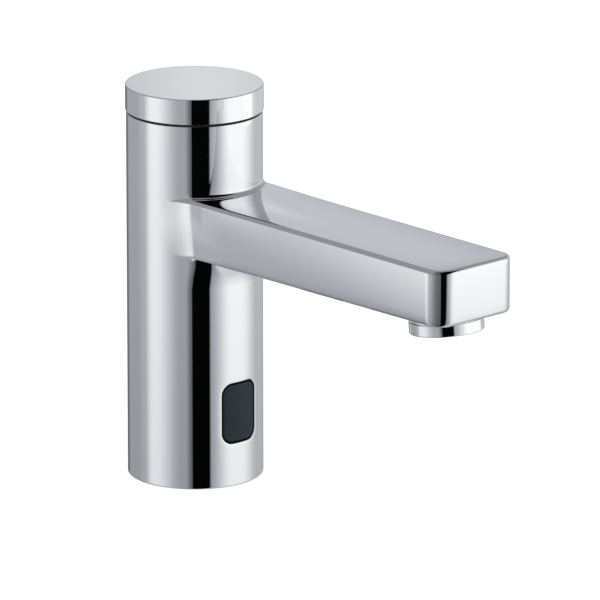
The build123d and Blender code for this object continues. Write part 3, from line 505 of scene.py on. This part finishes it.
# the rings of the pane's face as shares of its outline, the angles of those round its edge, the shares of those on
# its back, and the points along a side, which crowd towards the corners
PANE_SHARES = (0.0, 0.1, 0.2, 0.35, 0.5, 0.65, 0.8, 0.9, 0.97, 1.0)
PANE_ANGLES = (15, 30, 45, 60, 75, 90)
PANE_BACK_SHARES = (0.8, 0.5, 0.25, 0)
PANE_STEPS = 25
PANE_CROWDING = 0.6

# the springs inside: name, the CAD node, the wire's radius and the number of turns
COILS = (("check_valve_coil", "check_valve_spring", 0.22, 5), ("armature_coil", "armature_spring", 0.25, 6))
COIL_STEPS = 40
WIRE_SIDES = 16


def rounded_profile(corners, closed):
    """A profile's corners, rounded: points and outward normals, with the inside on the left."""
    corners = [np.array(c, float) for c in corners]
    count = len(corners)
    fewest, most = ARC_POINTS
    points, normals = [], []
    for k in range(count):
        at, radius = corners[k][:2], corners[k][2]
        if not closed and k in (0, count - 1):
            along = unit((corners[min(k + 1, count - 1)][:2] - corners[max(k - 1, 0)][:2])[None])[0]
            points.append(at)
            normals.append((along[1], -along[0]))
            continue
        before = corners[k - 1][:2] - at
        after = corners[(k + 1) % count][:2] - at
        u, v = unit(np.array([before, after]))
        left_turn = u[0] * v[1] - u[1] * v[0] < 0
        half = math.acos(np.clip(u @ v, -1, 1)) / 2
        centre = at + unit((u + v)[None])[0] * radius / math.sin(half)
        start = at + u * radius / math.tan(half) - centre
        end = at + v * radius / math.tan(half) - centre
        steps = max(fewest, min(most, round(radius / ARC_STEP)))
        for share in np.linspace(0, 1, steps):
            spoke = unit((start * (1 - share) + end * share)[None])[0]
            points.append(centre + spoke * radius)
            normals.append(spoke if left_turn else -spoke)
    return np.array(points), np.array(normals)


def lathe(name, corners, closed):
    """Turns a profile about Z."""
    profile, lean = rounded_profile(corners, closed)
    if closed:
        profile, lean = np.vstack([profile, profile[:1]]), np.vstack([lean, lean[:1]])
    turn = np.linspace(0, 2 * math.pi, LATHE_STEPS + 1)
    cos, sin = np.cos(turn), np.sin(turn)

    def spin(rz):
        return np.stack([rz[:, :1] * cos, rz[:, :1] * sin, np.repeat(rz[:, 1:], len(turn), axis=1)], axis=-1)

    sheets = Sheets()
    sheets.add(spin(profile), normals=spin(lean))
    points, normals, faces, _ = sheets.weld()
    return make_mesh(name, points, faces, normals)


def outlet_ring():
    """The ring round the outlet, at its place under the spout."""
    piece = lathe("outlet_ring", OUTLET_RING_PROFILE, closed=True)
    lean = Matrix.Rotation(math.radians(-OUTLET_TILT), 4, "X")
    piece.data.transform(Matrix.Translation(Vector(OUTLET) * MM) @ lean)
    return piece


def sensor_pane():
    """The dark pane with its rounded edge and the flange behind the column's wall."""
    even = np.linspace(-1, 1, PANE_STEPS)
    bent = even * (1 - PANE_CROWDING) + np.sin(even * math.pi / 2) * PANE_CROWDING
    inset = LENS_GAP + LENS_EDGE
    flat, out = rounded_outline(
        around(1.0, 1.0, bent, bent), WINDOW_HALF_W - inset, WINDOW_HALF_H - inset, WINDOW_CORNER - inset
    )
    sideways = np.stack([out[:, 0], 0 * out[:, 0], out[:, 1]], axis=1)
    rings = [(share, 0.0, 0.0) for share in PANE_SHARES]
    rings += [(1.0, math.radians(angle), 0.0) for angle in PANE_ANGLES]
    rings += [(1.0, math.pi / 2, LENS_DEPTH)]
    grid, leans = [], []
    for share, angle, drop in rings:
        xz = (flat + out * LENS_EDGE * math.sin(angle)) * share + (0, WINDOW_Z)
        ring = on_column(xz, LENS_R - LENS_EDGE * (1 - math.cos(angle)) - drop)
        grid.append(ring)
        leans.append(unit(ring * (1, 1, 0)) * math.cos(angle) + sideways * math.sin(angle))
    sheets = Sheets()
    sheets.add(np.stack(grid), normals=np.stack(leans))
    wide = LENS_EDGE + FLANGE_W
    steps = [(1, LENS_EDGE, LENS_R - LENS_EDGE - LENS_DEPTH), (1, LENS_EDGE, FLANGE_R)]
    steps += [(1, wide, FLANGE_R), (1, wide, FLANGE_BACK_R)]
    steps += [(share, 0, FLANGE_BACK_R) for share in PANE_BACK_SHARES]
    sheets.add(np.stack([on_column((flat + out * grow) * share + (0, WINDOW_Z), r) for share, grow, r in steps]))
    points, normals, faces, _ = sheets.weld()
    return make_mesh("sensor_pane", points, faces, normals, sharp_deg=40)


def coil_spring(name, node, wire_r, turns):
    """An open helical spring where the CAD has one."""
    low, high = (np.array(corner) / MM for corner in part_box(node))
    centre = (low + high) / 2
    radius = (high[0] - low[0]) / 2 - wire_r
    rise = (high[2] - low[2] - 2 * wire_r) / (2 * np.pi * turns)
    turn = np.linspace(0, 2 * np.pi * turns, COIL_STEPS * turns + 1)[:, None]
    round_wire = np.linspace(0, 2 * np.pi, WIRE_SIDES + 1)[None, :, None]
    cos, sin, none = np.cos(turn), np.sin(turn), 0 * turn
    out = np.hstack([cos, sin, none])[:, None]
    up = unit(np.hstack([sin * rise, -cos * rise, none + radius]))[:, None]
    middle = np.hstack([centre[0] + radius * cos, centre[1] + radius * sin, low[2] + wire_r + rise * turn])[:, None]
    wire = middle + wire_r * (np.cos(round_wire) * out + np.sin(round_wire) * up)
    sheets = Sheets()
    sheets.add(wire)
    for end in (0, -1):
        sheets.add(np.stack([wire[end], np.repeat(middle[end], WIRE_SIDES + 1, axis=0)]))
    points, _, faces, _ = sheets.weld()
    return make_mesh(name, points, faces, sharp_deg=40)


def squeeze(coils):
    """Gives each coil that the record lists as deformed by a joint a mesh of its own."""
    for joint in frame["record"]["behaviour"]["joints"]:
        for spring in joint.get("deforming_nodes", ()):
            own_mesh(coils[spring["node"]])


# ---- materials; scales are in cells a metre, edge radii and relief distances in metres
UNSTRETCHED = (1, 1, 1)
# grains: scale and how they are stretched
FINE_GRAIN = (900.0, UNSTRETCHED)
TURNED_GRAIN = (1600.0, (0.15, 0.15, 3.0))
SLEEVE_GRAIN = (120.0, (1, 1, 0.3))
GRAIN_DETAIL = 6.0
WORN_RELIEF = 0.0001
# scale and detail of the clouds in the colour and gloss, and of the patches where edges are rubbed
CLOUDS = (40.0, 3.0)
RUB_PATCHES = (350.0, 8.0)
RUB_FROM_TO = (0.45, 0.62)
RUBBED_PALER = 1.5
# how round an edge is taken to be, and how far its soft and true normals have to part (as cosines)
EDGE_R = 0.0003
EDGE_FROM_TO = (0.995, 0.93)
# the windings of a coil, and how much they stand out from its grain
WIRE_BANDS = 420.0
BAND_HEIGHT = 3.0
COAT_ROUGHNESS = 0.08


class Tree:
    """Adds nodes to a node tree; a value that is a socket becomes a link."""

    def __init__(self, owner):
        owner.use_nodes = True
        self.nodes = owner.node_tree.nodes
        self.links = owner.node_tree.links

    def put(self, sockets, key, value):
        if isinstance(value, bpy.types.NodeSocket):
            self.links.new(value, sockets[key])
        else:
            sockets[key].default_value = value

    def node(self, kind, values=None, **settings):
        made = self.nodes.new("ShaderNode" + kind)
        for key, value in settings.items():
            setattr(made, key, value)
        for key, value in (values or {}).items():
            self.put(made.inputs, key, value)
        return made

    def math(self, operation, a, b=0.0):
        return self.node("Math", {0: a, 1: b}, operation=operation).outputs[0]

    def ranged(self, value, from_low, from_high, low=0.0, high=1.0, how="LINEAR"):
        ends = {"Value": value, "From Min": from_low, "From Max": from_high, "To Min": low, "To Max": high}
        return self.node("MapRange", ends, interpolation_type=how).outputs[0]

    def mixed(self, share, a, b):
        return self.node("Mix", {0: share, 6: a, 7: b}, data_type="RGBA").outputs[2]


class Finish(Tree):
    """One material: a principled surface whose inputs vary over the piece."""

    def __init__(self, name):
        self.material = bpy.data.materials.new(name)
        super().__init__(self.material)
        self.surface = self.nodes["Principled BSDF"].inputs
        self.place = self.node("TexCoord").outputs["Object"]

    def set(self, key, value):
        self.put(self.surface, key, value)

    def stretched(self, stretch):
        return self.node("Mapping", {"Vector": self.place, "Scale": stretch}).outputs[0]

    def noise(self, scale, detail=4.0, stretch=UNSTRETCHED):
        values = {"Vector": self.stretched(stretch), "Scale": scale, "Detail": detail}
        return self.node("TexNoise", values).outputs[0]

    def bands(self, per_metre):
        values = {"Vector": self.stretched(UNSTRETCHED), "Scale": per_metre, "Distortion": 0.3, "Detail": 1.0}
        return self.node("TexWave", values, bands_direction="Z").outputs[1]

    def edges(self, radius):
        """1 along outward edges, 0 on flat stretches."""
        soft = self.node("Bevel", {"Radius": radius}, samples=4).outputs[0]
        true = self.node("NewGeometry").outputs["True Normal"]
        facing = self.node("VectorMath", {0: soft, 1: true}, operation="DOT_PRODUCT").outputs["Value"]
        return self.ranged(facing, *EDGE_FROM_TO)

    def relief(self, height, strength, distance):
        values = {"Height": height, "Strength": strength, "Distance": distance}
        self.set("Normal", self.node("Bump", values).outputs[0])


def shade(colour, factor=1.0):
    return (*[min(1.0, c * factor) for c in colour], 1.0)


def worn_finish(name, colour, rough, metallic=0.0, grain=FINE_GRAIN, relief=0.15, shift=0.12, bands=None, coat=0.0):
    """Uneven colour and gloss, a fine grain in relief, and edges rubbed paler."""
    finish = Finish(name)
    grain_scale, grain_stretch = grain
    cloud = finish.noise(*CLOUDS)
    fine = finish.noise(grain_scale, GRAIN_DETAIL, grain_stretch)
    base = finish.mixed(cloud, shade(colour, 1 - shift), shade(colour, 1 + shift))
    patches = finish.ranged(finish.noise(*RUB_PATCHES), *RUB_FROM_TO)
    rub = finish.math("MULTIPLY", finish.edges(EDGE_R), patches)
    finish.set("Base Color", finish.mixed(rub, base, shade(colour, RUBBED_PALER)))
    finish.set("Metallic", metallic)
    uneven = finish.math("ADD", cloud, fine)
    finish.set("Roughness", finish.ranged(uneven, 0.8, 1.2, *rough))
    if coat:
        finish.set("Coat Weight", coat)
        finish.set("Coat Roughness", COAT_ROUGHNESS)
    height = fine
    if bands:
        height = finish.math("ADD", finish.math("MULTIPLY", finish.bands(bands), BAND_HEIGHT), fine)
    finish.relief(height, relief, WORN_RELIEF)
    return finish.material


def chrome_plate():
    """Bright chrome: nearly a mirror, with a faint haze, wipe marks and the waviness that polishing leaves."""
    finish = Finish("chrome_plate")
    haze = finish.noise(30.0, 5.0)
    wipes = finish.noise(700.0, 4.0, (1.0, 1.0, 0.08))
    finish.set("Base Color", finish.mixed(haze, shade((0.93, 0.935, 0.94)), shade((0.96, 0.962, 0.965))))
    finish.set("Metallic", 1.0)
    finish.set("Roughness", finish.ranged(finish.math("MULTIPLY", haze, wipes), 0.12, 0.42, 0.015, 0.05))
    finish.relief(finish.noise(55.0, 2.0), 0.02, 0.0002)
    return finish.material


def lens_pane():
    """Dark glossy plastic that lets infrared through, with fine scratches from wiping."""
    finish = Finish("lens_pane")
    scratches = finish.noise(260.0, 10.0, (0.2, 1.0, 3.0))
    cloud = finish.noise(90.0, 3.0)
    finish.set("Base Color", finish.mixed(cloud, shade((0.011, 0.0145, 0.018)), shade((0.013, 0.017, 0.021))))
    finish.set("Roughness", finish.ranged(scratches, 0.35, 0.7, 0.2, 0.26))
    finish.set("Specular IOR Level", 0.27)
    finish.set("Specular Tint", (0.85, 1.0, 1.1, 1))
    finish.relief(scratches, 0.006, 0.00005)
    return finish.material


def circuit_board():
    """Green solder mask over copper tracks."""
    finish = Finish("circuit_board")
    tracks = finish.node("TexBrick", {
        "Vector": finish.stretched(UNSTRETCHED), "Scale": 260.0, "Mortar Size": 0.05, "Brick Width": 0.9,
        "Row Height": 0.28}, offset=0.37).outputs[1]
    cloud = finish.noise(60.0, 3.0)
    mask = finish.mixed(cloud, shade((0.015, 0.15, 0.06)), shade((0.02, 0.2, 0.08)))
    finish.set("Base Color", finish.mixed(tracks, mask, shade((0.05, 0.32, 0.12))))
    finish.set("Roughness", finish.ranged(cloud, 0.3, 0.7, 0.22, 0.34))
    finish.relief(tracks, 0.2, 0.00004)
    return finish.material


def finishes():
    """The material of each slot in the record."""
    return {
        "chrome": chrome_plate(),
        "brass": worn_finish("machined_brass", (0.62, 0.44, 0.17), (0.16, 0.34), 1.0, TURNED_GRAIN, 0.1, 0.1),
        "steel": worn_finish("turned_steel", (0.56, 0.55, 0.53), (0.18, 0.36), 1.0, TURNED_GRAIN, 0.1, 0.08),
        "lens": lens_pane(),
        "black_plastic": worn_finish("black_moulding", (0.022, 0.022, 0.024), (0.42, 0.62), relief=0.25),
        "grey_plastic": worn_finish("grey_moulding", (0.3, 0.31, 0.32), (0.38, 0.55), relief=0.2, shift=0.05),
        "white_plastic": worn_finish("white_moulding", (0.72, 0.72, 0.69), (0.34, 0.5), relief=0.15, shift=0.04),
        "rubber": worn_finish("seal_rubber", (0.018, 0.018, 0.018), (0.55, 0.75), relief=0.3, shift=0.2),
        "board": circuit_board(),
        "diode": worn_finish("diode_resin", (0.03, 0.02, 0.05), (0.08, 0.16), relief=0.03, coat=0.5),
        "copper": worn_finish("copper_winding", (0.62, 0.22, 0.09), (0.2, 0.32), 1.0, relief=0.6,
                              bands=WIRE_BANDS, coat=0.6),
        "gold_contact": worn_finish("gold_plate", (0.78, 0.55, 0.2), (0.16, 0.28), 1.0, relief=0.05),
        "battery": worn_finish("battery_sleeve", (0.03, 0.035, 0.05), (0.25, 0.4), relief=0.2,
                               grain=SLEEVE_GRAIN, coat=0.3),
        "lead_sheath": worn_finish("lead_sheath", (0.03, 0.03, 0.03), (0.5, 0.65), relief=0.2),
    }


def dress(finish_of):
    """Gives every CAD node its slot's material, and adds the finely meshed pieces that stand for six of them."""
    slots = {part["node"]: part["material_slot"] for part in frame["record"]["subparts"]}
    for name, node in frame["nodes"].items():
        node.data.materials.clear()
        node.data.materials.append(finish_of[slots[name]])
    coils = {node: coil_spring(name, node, wire_r, turns) for name, node, wire_r, turns in COILS}
    stand_ins = (
        (column_and_spout(), "body_casting", "tap_body"),
        (sensor_pane(), "sensor_lens", "tap_body"),
        (lathe("cap_shell", CAP_PROFILE, closed=False), "top_cap", "cap"),
        (outlet_ring(), "aerator_housing", "aerator"),
        *((coil, node, "tap_body") for node, coil in coils.items()),
    )
    for piece, node, body in stand_ins:
        piece.data.materials.append(finish_of[slots[node]])
        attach(piece, body)
        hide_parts(node)
    squeeze(coils)


# ---- studio
# the camera's angles in degrees, then its distance, and how far right of and above the foot's middle it is aimed
CAMERA_AZIMUTH = -42.272
CAMERA_ELEVATION = 16.006
CAMERA_DISTANCE = 3115.6
CAMERA_ASIDE = 38.486
CAMERA_HEIGHT = 65.104
CAMERA_LENS = 509.57

# The light tent that the chrome mirrors: a sphere round the tap. Places on it are given as seen from its middle, in
# degrees: bearings from the camera's, and heights from the horizon. The bare cloth shines with LOW_LIGHT below the
# heights in HORIZON and with HIGH_LIGHT above them. It and its panels are dimmer towards the bottom: BY_HEIGHT is the
# heights between which that changes, and the factor at each.
TENT_R = 700.0
TENT_LEVEL = 80.0
LOW_LIGHT = 0.355
HIGH_LIGHT = 0.24
HORIZON = (-3.0, 9.0)
BY_HEIGHT = (-46.0, 4.0, 0.68, 1.21)
# Lit or darker panels: middle bearing, then the bearings from there and the heights between which each comes in
# and goes out, and its strength.
PANELS = (
    (-66, (-27, -9, -2, 44), (-91, -90, 0, 9), 0.48),
    (-96, (-16, 2, 10, 20), (-91, -90, 0, 9), 0.08),
    (76, (-52, -12, 8, 50), (-91, -90, 20, 36), 0.445),
    (76, (-52, -12, 70, 100), (-91, -90, 8, 30), 0.135),
    (-158, (-17, -9, 4, 15), (-91, -90, -4, 10), -0.2),
    (46, (-3, 1, 2.5, 4.5), (-11.65, -11.45, -4, -1), -0.12),
    (96, (-10, 4, 15, 17.5), (-10.17, -9.97, -4, -1), 0.27),
    (130, (-20, -16, 20, 40), (-10.1, -9.9, -4, -1), 0.08),
)
# The round card behind the tap: its bearing and height, then how far from there each of its steps is even, where it
# ends, and its strength.
BACK_CARD = (-179.7, 20.0)
CARD_STEPS = ((6.0, 26.0, 0.26), (0.0, 4.5, 0.17))
# The black flag in front: its left edge, its right edge low down and high up and the heights between which that edge
# leans outwards, and its soft top. Beside it runs a darker skirt: its width and depth on the left and on the right.
FLAG_LEFT = -4.6
FLAG_RIGHT = (25.1, 82.0)
FLAG_WIDENS = (16.0, 36.0)
FLAG_TOP = (74.0, 78.0)
FLAG_EDGE = 0.6
FLAG_LIGHT = 0.004
FLAG_SKIRTS = ((12.0, 0.68), (3.0, 0.5))
# the tent's cloth is bluer where it is dark: the strengths between which that changes, and both tints
TINT_RANGE = (0.2, 0.9)
DARK_TINT = (0.94, 1.0, 1.07, 1)
BRIGHT_TINT = (0.99, 1.0, 1.01, 1)

WORLD_SEEN = 1.0
WORLD_LIGHT = 0.5
WHITE = (1, 1, 1, 1)

# metres
FLOOR_HALF = 6.0
FLOOR_Z = -0.0001
FLOOR_GLOW = 0.68
LAMP_PLACE = (-0.3, -0.6, 1.6)
LAMP_AIM = (0, 0, 0.07)
LAMP_SIZE = 1.2
LAMP_POWER = 6.0


def look_along(thing, way):
    """Turns a camera or lamp to look along a direction."""
    thing.rotation_mode = "QUATERNION"
    thing.rotation_quaternion = way.to_track_quat("-Z", "Y")


def camera():
    a, e = math.radians(CAMERA_AZIMUTH), math.radians(CAMERA_ELEVATION)
    back = Vector((math.sin(a) * math.cos(e), -math.cos(a) * math.cos(e), math.sin(e)))
    target = Vector((math.cos(a), math.sin(a), 0)) * CAMERA_ASIDE + Vector((0, 0, CAMERA_HEIGHT))
    data = bpy.data.cameras.new("camera")
    data.sensor_width = 36.0
    data.lens = CAMERA_LENS
    data.clip_start, data.clip_end = 0.1, 100.0
    holder = bpy.data.objects.new("camera", data)
    holder.location = (target + back * CAMERA_DISTANCE) * MM
    look_along(holder, -back)
    bpy.context.scene.collection.objects.link(holder)
    bpy.context.scene.camera = holder


def tent_light(fabric):
    """How bright the tent is, by where on it a mirrored ray ends."""
    mirrored = fabric.node("TexCoord").outputs["Object"]
    place = fabric.node("VectorMath", {0: mirrored}, operation="NORMALIZE").outputs[0]
    direction = fabric.node("SeparateXYZ", {0: place}).outputs
    bearing = fabric.math("ARCTAN2", direction["X"], fabric.math("MULTIPLY", direction["Y"], -1.0))
    bearing = fabric.math("SUBTRACT", fabric.math("DEGREES", bearing), CAMERA_AZIMUTH)
    height = fabric.math("DEGREES", fabric.math("ARCSINE", direction["Z"]))

    def turned(middle):
        """The bearing from another one, between -180 and 180."""
        ends = {0: fabric.math("SUBTRACT", bearing, middle), 1: 180.0, 2: -180.0}
        return fabric.node("Math", ends, operation="WRAP").outputs[0]

    def soft(value, start, end, low=0.0, high=1.0):
        return fabric.ranged(value, start, end, low, high, "SMOOTHSTEP")

    light = soft(height, *HORIZON, LOW_LIGHT, HIGH_LIGHT)
    for middle, bearings, heights, strength in PANELS:
        panel = strength
        for value, (start, full, ebb, end) in ((turned(middle), bearings), (height, heights)):
            panel = fabric.math("MULTIPLY", panel, soft(value, start, full))
            panel = fabric.math("MULTIPLY", panel, soft(value, ebb, end, 1.0, 0.0))
        light = fabric.math("ADD", light, panel)
    light = fabric.math("MULTIPLY", light, fabric.ranged(height, *BY_HEIGHT))

    card_bearing, card_height = BACK_CARD
    turn, tilt = math.radians(CAMERA_AZIMUTH + card_bearing), math.radians(card_height)
    towards = (math.sin(turn) * math.cos(tilt), -math.cos(turn) * math.cos(tilt), math.sin(tilt))
    facing = fabric.node("VectorMath", {0: place, 1: towards}, operation="DOT_PRODUCT").outputs["Value"]
    from_card = fabric.math("DEGREES", fabric.math("ARCCOSINE", facing))
    for even, end, strength in CARD_STEPS:
        light = fabric.math("ADD", light, soft(from_card, even, end, strength, 0.0))

    right_edge = fabric.ranged(height, *FLAG_WIDENS, *FLAG_RIGHT)
    beyond_right = fabric.math("SUBTRACT", turned(0.0), right_edge)
    beyond_left = fabric.math("SUBTRACT", FLAG_LEFT, turned(0.0))
    for beyond, (width, depth) in zip((beyond_left, beyond_right), FLAG_SKIRTS):
        shadow = soft(beyond, 0.0, width, depth, 0.0)
        near = fabric.math("GREATER_THAN", beyond, -1.0)
        light = fabric.math("MULTIPLY", light, fabric.math("SUBTRACT", 1.0, fabric.math("MULTIPLY", shadow, near)))
    outside = fabric.ranged(fabric.math("MAXIMUM", beyond_left, beyond_right), -FLAG_EDGE, 0.0, FLAG_LIGHT, 1.0)
    over = fabric.ranged(height, *FLAG_TOP, 0.0, 1.0)
    return fabric.math("MULTIPLY", light, fabric.math("MAXIMUM", outside, over))


def surroundings():
    """A light tent that only the chrome and other gloss mirror, in plain white surroundings."""
    world = bpy.data.worlds.new("studio")
    bpy.context.scene.world = world
    sky = Tree(world)
    background = sky.nodes["Background"].inputs
    by_camera = sky.node("LightPath").outputs["Is Camera Ray"]
    sky.put(background, "Color", WHITE)
    sky.put(background, "Strength", sky.node("Mix", {0: by_camera, 2: WORLD_LIGHT, 3: WORLD_SEEN}).outputs[0])

    mesh = bpy.data.meshes.new("light_tent")
    shell = bmesh.new()
    bmesh.ops.create_icosphere(shell, subdivisions=5, radius=TENT_R * MM)
    shell.to_mesh(mesh)
    shell.free()
    tent = bpy.data.objects.new("light_tent", mesh)
    tent.location = (0, 0, TENT_LEVEL * MM)
    for way in ("camera", "diffuse", "transmission", "volume_scatter", "shadow"):
        setattr(tent, "visible_" + way, False)
    cloth = bpy.data.materials.new("tent_cloth")
    fabric = Tree(cloth)
    light = tent_light(fabric)
    tint = fabric.mixed(fabric.ranged(light, *TINT_RANGE), DARK_TINT, BRIGHT_TINT)
    glow = fabric.node("Emission", {"Color": tint, "Strength": light}).outputs[0]
    fabric.put(fabric.nodes["Material Output"].inputs, "Surface", glow)
    cloth.cycles.emission_sampling = "NONE"
    mesh.materials.append(cloth)
    bpy.context.scene.collection.objects.link(tent)


def floor():
    """A plain pale floor, which the chrome doesn't mirror."""
    corners = [(x * FLOOR_HALF, y * FLOOR_HALF, FLOOR_Z) for x, y in ((-1, -1), (1, -1), (1, 1), (-1, 1))]
    mesh = bpy.data.meshes.new("floor")
    mesh.from_pydata(corners, [], [(0, 1, 2, 3)])
    plane = bpy.data.objects.new("floor", mesh)
    plane.visible_glossy = False
    finish = Finish("pale_floor")
    cloud = finish.noise(3.0, 4.0)
    finish.set("Base Color", finish.mixed(cloud, shade((0.78, 0.78, 0.78)), shade((0.8, 0.8, 0.8))))
    finish.set("Roughness", 0.9)
    finish.set("Specular IOR Level", 0.0)
    finish.set("Emission Color", WHITE)
    finish.set("Emission Strength", FLOOR_GLOW)
    plane.data.materials.append(finish.material)
    bpy.context.scene.collection.objects.link(plane)


def overhead_lamp():
    """A large soft lamp aimed at the tap; the chrome doesn't mirror it."""
    data = bpy.data.lights.new("overhead", "AREA")
    data.size = LAMP_SIZE
    data.energy = LAMP_POWER
    lamp = bpy.data.objects.new("overhead", data)
    lamp.location = LAMP_PLACE
    look_along(lamp, Vector(LAMP_AIM) - Vector(LAMP_PLACE))
    lamp.visible_glossy = False
    bpy.context.scene.collection.objects.link(lamp)


camera()
surroundings()
floor()
overhead_lamp()
bpy.context.scene.view_settings.view_transform = "Standard"
dress(finishes())
